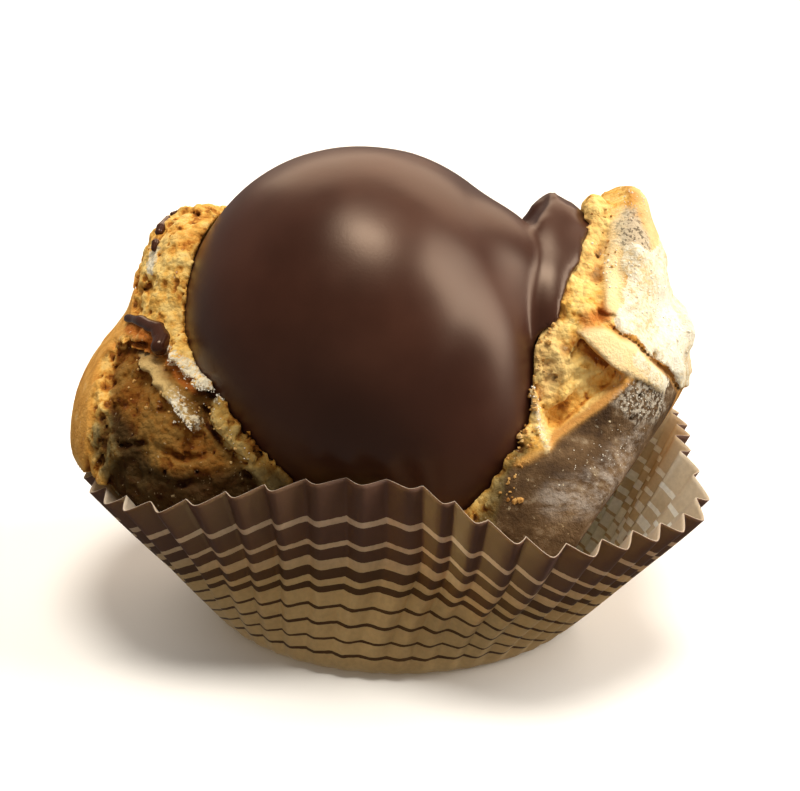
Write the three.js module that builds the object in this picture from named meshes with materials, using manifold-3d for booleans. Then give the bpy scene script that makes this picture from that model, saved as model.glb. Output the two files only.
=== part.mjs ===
// An amaretti pastry in its baking case: a cracked almond biscuit, split down the middle and
// opened like a book, with a chocolate-coated dome of filling in the split.
// Millimetres, +Z up. The origin is the centre of the case's flat bottom, on the surface it stands on.
// +X runs from the left half of the biscuit to the right half, and -Y is the front.
import * as THREE from "three";
import { mergeVertices } from "three/addons/utils/BufferGeometryUtils.js";
import Module from "manifold-3d";

const wasm = await Module();
wasm.setup();

// ---- Driving dimensions ----

const GAP = 0.3; // air kept between two neighbouring solids

const PAPER = {
  baseRadius: 25, // flat bottom of a case sold as 50 mm
  wallLength: 30, // measured along the paper, from the bottom's edge to the rim
  bendRadius: 3, // rounding between the bottom and the wall
  thickness: 0.5, // along the wall's normal; the pleats' slope makes the paper itself thinner
  pleats: 50,
  turn: 0.28, // how far round from +X the first ridge is, in pleats
  rows: 4, // steps up the straight wall
  spreadBy: 0.7, // share of the wall by which the pleats are evenly spaced along it
};

// How far the wall leans out, in degrees from upright: a rest angle, and one flat-topped lobe for
// each lump of biscuit that pushes it out (azimuth in degrees from +X, towards +Y).
const REST_LEAN = 2;
const LEAN_LOBES = [
  { at: 192, halfWidth: 46, lean: 35 }, // left half
  { at: 311, halfWidth: 30, lean: 36 }, // broken lump at the front of the right half
  { at: 25, halfWidth: 52, lean: 27 }, // right half
  { at: 135, halfWidth: 30, lean: 14 }, // back of the left half
];

// Each body is a set of soft-edged ellipsoidal lumps melted together. A lump has a centre and
// half-sizes along X, Y and Z, and a turn about Y in degrees. The heart is a point inside, from
// which the whole surface can be seen.
const FILLING = {
  heart: [-4, -1, 38],
  melt: 2, // how softly neighbouring lumps run together
  unevenness: 0.25,
  waviness: 13,
  columns: 44,
  rows: 24,
  lumps: [
    { centre: [-5.5, -1, 40.5], half: [24.5, 28.5, 24.5], turn: 0 }, // the dome
    { centre: [6.5, -9, 27.5], half: [12.5, 17.3, 14], turn: 0 }, // its toe, at the front rim of the case
    { centre: [16.6, -1, 42.5], half: [5, 14.5, 15], turn: 34 }, // coating up the right half's face
  ],
};
const BISCUIT = {
  heart: [0, 0, 14],
  melt: 1.5,
  unevenness: 0.9,
  waviness: 7,
  columns: 56,
  rows: 30,
  lumps: [
    { centre: [0, 0, 12], half: [36, 33, 16], turn: 0 }, // the uncut bottom that joins the halves
    { centre: [-25, 1, 26], half: [21.5, 28.5, 19.5], turn: -12 }, // left half
    { centre: [-26.5, 7, 41.5], half: [11, 19, 14.5], turn: -12 }, // left ridge beside the dome
    { centre: [22.5, 4, 34.5], half: [18, 25.5, 18], turn: 0 }, // right half
    { centre: [31.3, 7, 43.5], half: [7.9, 17, 14.7], turn: 2 }, // right ridge
    { centre: [18.5, -11, 17.5], half: [16.5, 21.5, 18.5], turn: 0 }, // broken lump at the front right
  ],
};

// Splits in the crust: each runs from one point on the surface to another, width wide at its
// middle and depth deep towards the biscuit's heart.
const SPLITS = [
  { from: [-33.5, -14, 41], to: [-24.5, -26, 29], width: 2.2, depth: 4 }, // front of the left half
  { from: [-38, -4, 42], to: [-29.5, -15, 42.5], width: 2, depth: 3 }, // below the left ridge
  { from: [19.5, -15.5, 45], to: [30, -16, 43.5], width: 2.4, depth: 5 }, // under the right crust plate
  { from: [28.5, -16, 43.5], to: [37.5, -12, 35], width: 2, depth: 4 }, // the same, running down
  { from: [17.8, -19.5, 39], to: [29.5, -20.5, 37], width: 11, depth: 4 }, // crumb broken out below it
  { from: [49, 3, 22], to: [18, -38, 18], width: 17, depth: 9 }, // right half's underside, off the case
  { from: [-40, 8, 37], to: [-24, 27, 30], width: 2, depth: 4 }, // back of the left half
  { from: [41, 4, 38], to: [30, 26, 33], width: 2, depth: 4 }, // back of the right half
];

// ---- Shared helpers ----

const radians = THREE.MathUtils.degToRad;

/** A closed geometry as a manifold-3d solid. */
function solidOf(geometry) {
  const bare = geometry.clone();
  bare.deleteAttribute("normal");
  bare.deleteAttribute("uv");
  const merged = mergeVertices(bare, 1e-4);
  return new wasm.Manifold(
    new wasm.Mesh({
      numProp: 3,
      vertProperties: merged.attributes.position.array,
      triVerts: new Uint32Array(merged.index.array),
    }),
  );
}

/** A manifold-3d solid as a BufferGeometry. */
function geometryOf(solid) {
  const mesh = solid.getMesh();
  const positions = new Float32Array(mesh.numVert * 3);
  for (let i = 0; i < mesh.numVert; i++) {
    const start = i * mesh.numProp;
    positions.set(mesh.vertProperties.subarray(start, start + 3), i * 3);
  }
  const geometry = new THREE.BufferGeometry();
  geometry.setAttribute("position", new THREE.BufferAttribute(positions, 3));
  geometry.setIndex(new THREE.BufferAttribute(mesh.triVerts, 1));
  geometry.computeVertexNormals();
  return geometry;
}

/** A closed solid through rings of points of equal count, counter-clockwise, capped at both ends. */
function solidThrough(rings) {
  const columns = rings[0].length;
  const total = (ring) => ring.reduce((sum, point) => sum.add(point), new THREE.Vector3());
  const middle = (ring) => total(ring).divideScalar(columns);
  const points = [middle(rings[0]), ...rings.flat(), middle(rings.at(-1))];
  const last = points.length - 1;
  const at = (row, column) => 1 + row * columns + (column % columns);
  const index = [];
  for (let column = 0; column < columns; column++) {
    index.push(0, at(0, column + 1), at(0, column));
    for (let row = 0; row + 1 < rings.length; row++) {
      index.push(at(row, column), at(row, column + 1), at(row + 1, column + 1));
      index.push(at(row, column), at(row + 1, column + 1), at(row + 1, column));
    }
    index.push(at(rings.length - 1, column), at(rings.length - 1, column + 1), last);
  }
  return solidOf(new THREE.BufferGeometry().setFromPoints(points).setIndex(index));
}

/** A smooth wandering value between -1 and 1 for a place, so that no lump is a true ellipsoid. */
function wander({ x, y, z }) {
  return (Math.sin(x + 0.7 * y + 1.3) + Math.sin(1.3 * y - 0.8 * z) + Math.sin(1.6 * z + 1.1 * x + 4.1)) / 3;
}

/** How far a place is outside one lump: negative inside, and close to true near the surface. */
function outsideLump(place, lump) {
  const turned = place.clone().sub(new THREE.Vector3(...lump.centre));
  turned.applyAxisAngle(new THREE.Vector3(0, 1, 0), -radians(lump.turn));
  const size = new THREE.Vector3(...lump.half);
  const scaled = turned.divide(size);
  const reach = scaled.length();
  return (reach * (reach - 1)) / Math.max(scaled.divide(size).length(), 1e-6);
}

/** How far a place is outside a body of melted lumps. */
function outsideBody(place, body) {
  const total = body.lumps.reduce((sum, lump) => sum + Math.exp(-outsideLump(place, lump) / body.melt), 0);
  const bump = body.unevenness * wander(place.clone().divideScalar(body.waviness));
  return -body.melt * Math.log(total) + bump;
}

/** A body as a solid, grown outwards by grow: a sphere whose points move to the body's surface. */
function bodySolid(body, grow = 0) {
  const farthest = 70;
  const geometry = new THREE.SphereGeometry(1, body.columns, body.rows);
  geometry.rotateX(Math.PI / 2);
  const position = geometry.attributes.position;
  const heart = new THREE.Vector3(...body.heart);
  const direction = new THREE.Vector3();
  const along = (distance) => direction.clone().multiplyScalar(distance).add(heart);
  const outsideAt = (distance) => outsideBody(along(distance), body) - grow;
  for (let i = 0; i < position.count; i++) {
    direction.fromBufferAttribute(position, i);
    let outer = farthest;
    while (outsideAt(outer - 1) > 0) outer -= 1;
    let inner = outer - 1;
    while (outer - inner > 1e-4) {
      const middle = (outer + inner) / 2;
      if (outsideAt(middle) > 0) outer = middle;
      else inner = middle;
    }
    position.setXYZ(i, ...along(inner));
  }
  return solidOf(geometry);
}

/** A lens-shaped cutter for one split. */
function splitCutter({ from, to, width, depth }) {
  const start = new THREE.Vector3(...from);
  const end = new THREE.Vector3(...to);
  const middle = start.clone().lerp(end, 0.5);
  const length = start.distanceTo(end);
  const along = end.sub(start).normalize();
  const inward = new THREE.Vector3(...BISCUIT.heart).sub(middle);
  inward.addScaledVector(along, -inward.dot(along)).normalize();
  const across = inward.clone().cross(along);
  const geometry = new THREE.SphereGeometry(1, 10, 6);
  geometry.scale(length / 2, width / 2, depth);
  geometry.applyMatrix4(new THREE.Matrix4().makeBasis(along, across, inward).setPosition(middle));
  return solidOf(geometry);
}

// ---- Paper case ----

/** The wall's lean from upright at an azimuth, both in radians. */
function leanAt(azimuth) {
  let lean = REST_LEAN;
  for (const lobe of LEAN_LOBES) {
    const turn = THREE.MathUtils.radToDeg(azimuth) - lobe.at;
    const away = THREE.MathUtils.euclideanModulo(turn + 180, 360) - 180;
    lean += lobe.lean * Math.exp(-((away / lobe.halfWidth) ** 4));
  }
  return radians(lean);
}

/** The wall's mid-line at an azimuth and a distance along the paper, whose slope from level is bent. */
function midWall(azimuth, along) {
  const lean = leanAt(azimuth);
  const bent = Math.min(along / PAPER.bendRadius, Math.PI / 2 - lean);
  const straight = along - bent * PAPER.bendRadius;
  return {
    radius: PAPER.baseRadius + PAPER.bendRadius * Math.sin(bent) + straight * Math.sin(lean),
    height: PAPER.thickness / 2 + PAPER.bendRadius * (1 - Math.cos(bent)) + straight * Math.cos(lean),
    bent,
  };
}

/** Lengths from azimuth 0 along the wall's mid-line, at even steps of azimuth all the way round. */
function girthTable(along) {
  const steps = 720;
  const place = (i) => {
    const azimuth = (2 * Math.PI * i) / steps;
    const { radius, height } = midWall(azimuth, along);
    return new THREE.Vector3(radius * Math.cos(azimuth), radius * Math.sin(azimuth), height);
  };
  const lengths = [0];
  for (let i = 1; i <= steps; i++) lengths.push(lengths[i - 1] + place(i).distanceTo(place(i - 1)));
  return lengths;
}

const rimGirth = girthTable(PAPER.wallLength);

/** The azimuth at a share of the way round the rim, measured along it. */
function rimAzimuth(share) {
  const wanted = share * rimGirth.at(-1);
  const next = Math.max(rimGirth.findIndex((length) => length >= wanted), 1);
  const part = (wanted - rimGirth[next - 1]) / (rimGirth[next] - rimGirth[next - 1]);
  return (2 * Math.PI * (next - 1 + part)) / (rimGirth.length - 1);
}

/** Half the depth of the pleats: the flat disc's surplus girth, folded away. */
function pleatDepth(along) {
  const flatHalfPitch = (Math.PI * (PAPER.baseRadius + along)) / PAPER.pleats;
  const halfPitch = girthTable(along).at(-1) / (2 * PAPER.pleats);
  return Math.sqrt(Math.max(flatHalfPitch ** 2 - halfPitch ** 2, 0)) / 2;
}

/** The folds round the wall: ridges have even numbers, and creases odd ones. */
const FOLDS = Array.from({ length: 2 * PAPER.pleats }, (_, fold) => fold);
const CREASES = FOLDS.filter((fold) => fold % 2 === 1);

/**
 * One ring of points round the wall at some of its folds, moved outwards along its normal by offset.
 * The folds start evenly spaced round the bottom, and are evenly spaced along the rim by spreadBy.
 */
function wallRing(along, offset, folds) {
  const depth = pleatDepth(along);
  const spread = THREE.MathUtils.smoothstep(along / PAPER.wallLength, 0, PAPER.spreadBy);
  return folds.map((fold) => {
    const share = (fold / 2 + PAPER.turn) / PAPER.pleats;
    const azimuth = THREE.MathUtils.lerp(2 * Math.PI * share, rimAzimuth(share), spread);
    const { radius, height, bent } = midWall(azimuth, along);
    const out = fold % 2 ? offset - depth : offset + depth;
    const reach = radius + out * Math.sin(bent);
    const above = height - out * Math.cos(bent);
    return new THREE.Vector3(reach * Math.cos(azimuth), reach * Math.sin(azimuth), above);
  });
}

/** Distances along the paper at which the wall is drawn: two in the bend, then even steps. */
function wallSteps() {
  const { bendRadius, wallLength, rows } = PAPER;
  const start = 1.5 * bendRadius;
  const steps = Array.from({ length: rows + 1 }, (_, i) => start + ((wallLength - start) * i) / rows);
  return [0, 0.5 * bendRadius, bendRadius, ...steps];
}

function paperCase() {
  const side = (offset) => wallSteps().map((along) => wallRing(along, offset, FOLDS));
  return solidThrough([...side(PAPER.thickness / 2), ...side(-PAPER.thickness / 2).reverse()]);
}

/** The room inside the case, a gap clear of its creases, and everything above its rim. */
function roomInCase() {
  const offset = -PAPER.thickness / 2 - GAP;
  const rings = wallSteps().map((along) => wallRing(along, offset, CREASES));
  const beyond = 2; // times the rim's radius
  const shelf = rings.at(-1).map(({ x, y, z }) => new THREE.Vector3(beyond * x, beyond * y, z + 2 * GAP));
  const lid = shelf.map(({ x, y }) => new THREE.Vector3(x, y, 4 * PAPER.wallLength));
  return solidThrough([...rings, shelf, lid]);
}

// ---- Assembly ----

const room = roomInCase();
const dome = bodySolid(FILLING).intersect(room);
const biscuit = bodySolid(BISCUIT)
  .intersect(room)
  .subtract(wasm.Manifold.union([bodySolid(FILLING, GAP), ...SPLITS.map(splitCutter)]))
  .decompose()
  .sort((a, b) => b.volume() - a.volume())[0];

/** A named mesh of one solid, with its own material. */
function part(name, solid, color, roughness) {
  const material = new THREE.MeshStandardMaterial({ color, roughness, metalness: 0 });
  const mesh = new THREE.Mesh(geometryOf(solid), material);
  mesh.name = name;
  return mesh;
}

const pastry = new THREE.Group();
pastry.name = "amaretti_cookie";
pastry.add(part("paper_case", paperCase(), "#6a5540", 0.8));
pastry.add(part("biscuit", biscuit, "#cfa468", 0.9));
pastry.add(part("chocolate_dome", dome, "#3c241a", 0.35));

export default pastry;
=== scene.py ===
"""An amaretti pastry in its pleated paper case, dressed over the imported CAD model."""
import math

import bpy
import numpy as np
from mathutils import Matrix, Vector


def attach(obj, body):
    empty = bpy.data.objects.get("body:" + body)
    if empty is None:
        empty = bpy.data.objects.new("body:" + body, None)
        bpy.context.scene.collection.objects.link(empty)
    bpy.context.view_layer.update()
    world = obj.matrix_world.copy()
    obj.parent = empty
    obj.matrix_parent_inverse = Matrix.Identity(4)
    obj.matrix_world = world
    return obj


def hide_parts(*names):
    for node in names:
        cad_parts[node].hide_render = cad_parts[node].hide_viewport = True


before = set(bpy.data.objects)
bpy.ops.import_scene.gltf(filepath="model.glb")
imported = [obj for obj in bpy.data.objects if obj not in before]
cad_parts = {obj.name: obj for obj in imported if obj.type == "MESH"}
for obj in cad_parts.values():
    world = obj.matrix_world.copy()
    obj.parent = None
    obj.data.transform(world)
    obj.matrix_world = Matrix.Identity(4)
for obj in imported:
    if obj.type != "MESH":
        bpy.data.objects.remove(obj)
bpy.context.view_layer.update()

MM = 0.001
GRID_MM = 0.42
FIELD_SEED, PLEAT_SEED, CRUMB_SEED, SUGAR_SEED = 11, 3, 5, 9

# ---- noise and distance fields, in mm

# p is an array of places in mm, and a distance is negative inside the thing that it belongs to.
FAR, STRAND_REACH = 50.0, 6  # the distance given far off, and how near a strand's is worked out
RAGGED_SIZE = 2.2  # of the waves in an outline's edge
chance = np.random.default_rng(FIELD_SEED)
LATTICE = chance.random((64, 64, 64)).astype(np.float32)
SITES = chance.random((32, 32, 32, 4)).astype(np.float32)


def noise(p, size, shift=0.0):
    """Smooth noise from -1 to 1, with features about size across; shift picks another part of it."""
    q = p / size + 7.31 * shift
    cell = np.floor(q).astype(np.int32)
    f = (q - cell).astype(np.float32)
    f = f * f * f * (f * (f * 6 - 15) + 10)
    weight = (1 - f).T, f.T
    place = (cell & 63).T, ((cell + 1) & 63).T
    total = 0
    for a, b, c in np.ndindex(2, 2, 2):
        value = LATTICE[place[a][0], place[b][1], place[c][2]]
        total = total + weight[a][0] * weight[b][1] * weight[c][2] * value
    return 2 * total - 1


def fractal(p, size, octaves=3, shift=0.0):
    """Noise summed over octaves, each half the size and height of the last."""
    total = 0
    for k in range(octaves):
        total = total + noise(p, size / 2**k, shift + 3.7 * k) / 2**k
    return total / (2 - 2.0 ** (1 - octaves))


def cells(p, size, shift=0.0):
    """Scattered sites, one to a cell of that size: the distances to the nearest and the next one, and a
    random number from 0 to 1 that belongs to the nearest."""
    q = p / size + 3.17 * shift
    cell = np.floor(q).astype(np.int32)
    f = (q - cell).astype(np.float32)
    first = np.full(len(p), FAR, np.float32)
    second = first.copy()
    mark = np.zeros(len(p), np.float32)
    for a, b, c in np.ndindex(3, 3, 3):
        site = SITES[(cell[:, 0] + a - 1) & 31, (cell[:, 1] + b - 1) & 31, (cell[:, 2] + c - 1) & 31]
        away = f - site[:, :3] - np.array((a - 1, b - 1, c - 1), np.float32)
        away = np.sqrt(np.einsum("ij,ij->i", away, away))
        second = np.minimum(second, np.maximum(first, away))
        mark = np.where(away < first, site[:, 3], mark)
        first = np.minimum(first, away)
    return first * size, second * size, mark


def pores(p, size, small, large, share, shift=0.0):
    """Distance outside round holes at a share of scattered sites, small to large in radius."""
    first, _, mark = cells(p, size, shift)
    pick = mark / share
    return np.where(pick < 1, first - small - (large - small) * (1 - pick) ** 2, FAR)


def ellipsoid(p, centre, half, turn=0.0, pitch=0.0):
    """Distance outside an ellipsoid turned about Y, as in the CAD source, or pitched about X."""
    q = p - np.array(centre, np.float32)
    t, u = math.radians(turn), math.radians(pitch)
    x = q[:, 0] * math.cos(t) - q[:, 2] * math.sin(t)
    z = q[:, 0] * math.sin(t) + q[:, 2] * math.cos(t)
    y, z = q[:, 1] * math.cos(u) + z * math.sin(u), z * math.cos(u) - q[:, 1] * math.sin(u)
    s = np.stack([x / half[0], y / half[1], z / half[2]], 1)
    reach = np.sqrt((s**2).sum(1))
    slope = np.sqrt(((s / np.array(half, np.float32)) ** 2).sum(1))
    return reach * (reach - 1) / np.maximum(slope, 1e-6)


def melted(p, lumps, melt):
    """Distance outside soft-edged lumps that run together."""
    total = 0
    for lump in lumps:
        total = total + np.exp(-ellipsoid(p, *lump) / melt)
    return -melt * np.log(total)


def strand(p, points, radii):
    """Distance outside a strand through points, with a radius at each."""
    points = np.array(points, np.float32)
    out = np.full(len(p), FAR, np.float32)
    margin = max(radii) + STRAND_REACH
    near = np.all((p > points.min(0) - margin) & (p < points.max(0) + margin), 1)
    q = p[near]
    best = np.full(len(q), FAR, np.float32)
    for a, b, ra, rb in zip(points, points[1:], radii, radii[1:]):
        ab = b - a
        h = np.clip(((q - a) @ ab) / (ab @ ab), 0, 1)
        best = np.minimum(best, np.linalg.norm(q - a - h[:, None] * ab, axis=1) - (ra + (rb - ra) * h))
    out[near] = best
    return out


def stroke(p, points, radii, back=-4.0):
    """Distance outside a stroke through points of x and z, drawn on what lies before y = back."""
    return np.where(p[:, 1] < back, strand(p[:, ::2], points, radii), FAR)


def inside(p, outline, ragged=0.3, back=-4.0, margin=3.0):
    """Distance inside an outline of x and z points with a ragged edge, drawn on what lies before
    y = back; negative outside it, down to -margin."""
    outline = np.array(outline, np.float32)
    out = np.full(len(p), -margin, np.float32)
    boxed = (p[:, ::2] > outline.min(0) - margin) & (p[:, ::2] < outline.max(0) + margin)
    near = np.all(boxed, 1) & (p[:, 1] < back)
    wander = [noise(p[near], RAGGED_SIZE, shift) for shift in (21.0, 22.0)]
    q = p[near][:, ::2] + ragged * np.stack(wander, 1)
    away = np.full(len(q), FAR, np.float32)
    within = np.zeros(len(q), bool)
    for a, b in zip(outline, np.roll(outline, -1, 0)):
        ab = b - a
        h = np.clip(((q - a) @ ab) / (ab @ ab), 0, 1)
        away = np.minimum(away, np.linalg.norm(q - a - h[:, None] * ab, axis=1))
        reach = a[0] + (q[:, 1] - a[1]) * ab[0] / (ab[1] if ab[1] else 1)
        within ^= ((a[1] > q[:, 1]) != (b[1] > q[:, 1])) & (q[:, 0] < reach)
    out[near] = np.where(within, away, -away)
    return out


def soft_min(a, b, k):
    """The lesser of two distances, with a fillet about k wide where they meet."""
    h = np.clip(0.5 + 0.5 * (b - a) / k, 0, 1)
    return b + (a - b) * h - k * h * (1 - h)


def soft_max(a, b, k):
    """The greater of two distances, rounded in the same way."""
    return -soft_min(-a, -b, k)


def step(value, low, high):
    """0 up to low and 1 from high on, with a smooth rise between them."""
    t = np.clip((value - low) / (high - low), 0, 1)
    return t * t * (3 - 2 * t)


def drawn(p, line, low, high, back=-4.0):
    """1 within a stroke and 0 outside it, rising from low to high mm inside its edge."""
    return step(-stroke(p, *line, back=back), low, high)


def zone(p, outline, low, high, ragged=0.3, back=-4.0):
    """The same for an outline."""
    return step(inside(p, outline, ragged, back), low, high)


# ---- meshes

CORNERS = np.array([(a, b, c) for a in (0, 1) for b in (0, 1) for c in (0, 1)])
EDGES = [(i, j) for i in range(8) for j in range(i + 1, 8) if abs(CORNERS[i] - CORNERS[j]).sum() == 1]


def surface_net(values, low, pitch):
    """Points and quads of the surface where a grid of values crosses zero, with the solid below zero."""
    inside = values < 0
    shape = np.array(values.shape) - 1
    signs = np.zeros(shape, np.uint8)
    for a, b, c in CORNERS:
        signs += inside[a : a + shape[0], b : b + shape[1], c : c + shape[2]]
    crossed = np.argwhere((signs > 0) & (signs < 8))
    number = np.full(shape, -1, np.int64)
    number[tuple(crossed.T)] = np.arange(len(crossed))
    corner = np.stack([values[tuple((crossed + c).T)] for c in CORNERS], 1)
    total = np.zeros((len(crossed), 3))
    count = np.zeros(len(crossed))
    for i, j in EDGES:
        differ = (corner[:, i] < 0) != (corner[:, j] < 0)
        t = corner[differ, i] / (corner[differ, i] - corner[differ, j])
        total[differ] += CORNERS[i] + t[:, None] * (CORNERS[j] - CORNERS[i])
        count[differ] += 1
    points = (crossed + total / count[:, None]) * pitch + low
    quads = []
    for axis in range(3):
        u, v = (axis + 1) % 3, (axis + 2) % 3
        change = np.argwhere(np.diff(inside, axis=axis))
        at_u, at_v = change[:, u], change[:, v]
        change = change[(at_u > 0) & (at_v > 0) & (at_u < shape[u]) & (at_v < shape[v])]
        eu, ev = np.eye(3, dtype=int)[[u, v]]
        quad = np.stack([number[tuple((change - o).T)] for o in (eu + ev, ev, 0 * eu, eu)], 1)
        outward = inside[tuple(change.T)]
        quad[~outward] = quad[~outward][:, ::-1]
        quads.append(quad)
    return points, np.concatenate(quads)


def field_grid(low, high, pitch, base, detail, band):
    """A grid of distances: base everywhere, and detail where base is within band of the surface."""
    axes = [np.arange(a - 2 * pitch, b + 2 * pitch, pitch, dtype=np.float32) for a, b in zip(low, high)]
    place = np.stack(np.meshgrid(*axes, indexing="ij"), -1).reshape(-1, 3)
    values = base(place)
    near = np.abs(values) < band
    values[near] = detail(place[near], values[near])
    return values.reshape([len(a) for a in axes]), np.array([a[0] for a in axes])


def largest_piece(points, quads):
    """Only the largest connected part of a mesh."""
    label = np.arange(len(points))
    while True:
        lowest = label[quads].min(1)
        before = label.copy()
        for k in range(4):
            np.minimum.at(label, quads[:, k], lowest)
        label = label[label]
        if np.array_equal(before, label):
            break
    names, sizes = np.unique(label, return_counts=True)
    keep = label == names[sizes.argmax()]
    renumber = np.cumsum(keep) - 1
    return points[keep], renumber[quads[keep[quads[:, 0]]]]


def settled(points, field, reach=0.15):
    """Points moved along the field's slope onto its surface, and that slope."""
    p = points.astype(np.float32)
    value = field(p)
    corners = np.eye(3, dtype=np.float32) * reach
    slope = np.stack([(field(p + e) - field(p - e)) / (2 * reach) for e in corners], 1)
    size = np.maximum((slope**2).sum(1), 0.25)
    return points - slope * (value / size)[:, None], slope / np.sqrt(size)[:, None]


def on_surface(points, field, lift=0.0):
    """Points brought onto the surface of a field, then lifted off it, and the slope there."""
    for _ in range(5):
        points, slope = settled(points, field)
    return points + slope * lift, slope


def mesh_object(name, points, faces, attributes=None, smooth=True):
    """A mesh object from points in mm."""
    mesh = bpy.data.meshes.new(name)
    faces = np.asarray(faces, np.int32)
    mesh.vertices.add(len(points))
    mesh.vertices.foreach_set("co", (np.asarray(points, np.float32) * MM).ravel())
    mesh.loops.add(faces.size)
    mesh.loops.foreach_set("vertex_index", faces.ravel())
    mesh.polygons.add(len(faces))
    mesh.polygons.foreach_set("loop_start", np.arange(0, faces.size, faces.shape[1], dtype=np.int32))
    mesh.polygons.foreach_set("use_smooth", np.full(len(faces), smooth))
    for key, values in (attributes or {}).items():
        layer = mesh.attributes.new(key, "FLOAT", "POINT")
        layer.data.foreach_set("value", np.asarray(values, np.float32))
    mesh.update(calc_edges=True)
    mesh.validate()
    made = bpy.data.objects.new(name, mesh)
    bpy.context.scene.collection.objects.link(made)
    return made


# ---- the paper case

BASE_RADIUS, WALL, BEND, PAPER = 25.0, 30.0, 3.0, 0.5  # as in the CAD source
PLEATS, TURN, SPREAD_BY = 50, 0.28, 0.7  # turn in pleats, and how far up they are spread by
THIN_PAPER = 0.16
LOBES = ((192, 46, 35), (311, 30, 36), (25, 52, 27), (135, 30, 14))  # azimuth, half width and lean
REST_LEAN = 2.0
PER_PLEAT, BEND_ROWS, WALL_ROWS = 14, 7, 41  # the mesh's columns and rows
DEPTH_RANGE, SLIP, ARCH_POWER = (0.82, 1.06), 0.09, 1.35  # how the pleats differ, and their roundness
FLOOR_SCALES = (0.75, 0.5, 0.25, 0.02)  # rings of the case's flat bottom


def lean_at(azimuth):
    """The case wall's lean from upright, in radians."""
    degrees = np.full_like(azimuth, REST_LEAN)
    for at, width, lean in LOBES:
        away = (np.degrees(azimuth) - at + 180) % 360 - 180
        degrees = degrees + lean * np.exp(-((away / width) ** 4))
    return np.radians(degrees)


def wall_line(azimuth, along):
    """The wall's mid-line: radius, height and the paper's slope from level."""
    lean = lean_at(azimuth)
    bent = np.minimum(along / BEND, math.pi / 2 - lean)
    straight = along - bent * BEND
    radius = BASE_RADIUS + BEND * np.sin(bent) + straight * np.sin(lean)
    height = PAPER / 2 + BEND * (1 - np.cos(bent)) + straight * np.cos(lean)
    return radius, height, bent


FULL_TURN = np.linspace(0, 2 * math.pi, 721)


def girth_table(along):
    """Lengths along the wall's mid-line at even steps of azimuth."""
    radius, height, _ = wall_line(FULL_TURN, along)
    ring = np.stack([radius * np.cos(FULL_TURN), radius * np.sin(FULL_TURN), height], 1)
    return np.concatenate([[0], np.cumsum(np.linalg.norm(np.diff(ring, axis=0), axis=1))])


RIM_GIRTH = girth_table(WALL)
ALONG_STEPS = np.linspace(0, WALL, 61)
FLAT_PITCH = math.pi * (BASE_RADIUS + ALONG_STEPS) / PLEATS
WALL_PITCH = np.array([girth_table(along)[-1] for along in ALONG_STEPS]) / (2 * PLEATS)
DEPTHS = 0.5 * np.sqrt(np.maximum(FLAT_PITCH**2 - WALL_PITCH**2, 0))


def pleat_depth(along):
    """Half the depth of the pleats: the flat disc's surplus girth, folded away."""
    return np.interp(along, ALONG_STEPS, DEPTHS)


def pleat_azimuth(turn, along):
    """Where a number of pleats round is: evenly spaced at the bottom, and along the rim further up."""
    share = (turn + TURN) / PLEATS
    lap = np.floor(share)
    rim = np.interp((share - lap) * RIM_GIRTH[-1], RIM_GIRTH, FULL_TURN) + 2 * math.pi * lap
    spread = step(along / WALL, 0, SPREAD_BY)
    return (1 - spread) * 2 * math.pi * share + spread * rim


def pleat_folds(turn, which, draw):
    """How far the paper folds out, from about -1 to 1, at a number of pleats round."""
    deep = draw.uniform(*DEPTH_RANGE, PLEATS)[which]
    slip = draw.uniform(-SLIP, SLIP, PLEATS)[which]
    t = (turn + 0.5) % 1
    t = t + slip * 4 * t * (1 - t)
    arch = 1 - np.abs(2 * t - 1) ** ARCH_POWER
    return (0.75 * (2 * arch - 1) - 0.25 * np.cos(2 * math.pi * t)) * deep


def make_case():
    """The case's thin paper, pleated, with a flat bottom."""
    count = PLEATS * PER_PLEAT
    turn = np.arange(count) / PER_PLEAT
    which = np.floor(turn + 0.5).astype(int) % PLEATS
    draw = np.random.default_rng(PLEAT_SEED)
    fold = pleat_folds(turn, which, draw)
    sway = draw.uniform(0, 6.28, PLEATS)[which]
    bend_steps = np.linspace(0, 1.6 * BEND, BEND_ROWS + 1)[:-1]
    alongs = np.concatenate([bend_steps, np.linspace(1.6 * BEND, WALL, WALL_ROWS)])
    rings, paths = [], []
    for side in (1, -1):
        for along in alongs:
            rise = along / WALL
            azimuth = pleat_azimuth(turn, along)
            radius, height, bent = wall_line(azimuth, along)
            crumple = 0.16 * np.sin(along / 4.1 + sway) * rise
            crumple = crumple + 0.2 * np.sin(2.3 * azimuth + along / 7) * rise**2
            out = fold * pleat_depth(along) + crumple + side * THIN_PAPER / 2
            reach = radius + out * np.sin(bent)
            z = height - out * np.cos(bent) - (PAPER - THIN_PAPER) / 2 * (1 - min(along / BEND, 1))
            rings.append(np.stack([reach * np.cos(azimuth), reach * np.sin(azimuth), z], 1))
            paths.append(np.full(count, rise))
    n = len(alongs)
    for start, z in ((0, 0.0), (n, THIN_PAPER)):
        for scale in FLOOR_SCALES:
            rings.append(rings[start] * (scale, scale, 0) + (0, 0, z))
            paths.append(np.zeros(count))
    floors = len(FLOOR_SCALES)
    outer = [2 * n + k for k in reversed(range(floors))] + list(range(n))
    inner = list(range(2 * n - 1, n - 1, -1)) + [2 * n + floors + k for k in range(floors)]
    order = outer + inner
    col = np.arange(count)
    nxt = (col + 1) % count
    faces = [
        np.stack([a * count + col, a * count + nxt, b * count + nxt, b * count + col], 1)
        for a, b in zip(order, order[1:])
    ]
    within = [float(n <= k < 2 * n or k >= 2 * n + floors) for k in range(len(rings))]
    sides = {"path": np.concatenate(paths), "inside": np.repeat(within, count)}
    return mesh_object("case_paper", np.concatenate(rings), np.concatenate(faces), sides)


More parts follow.
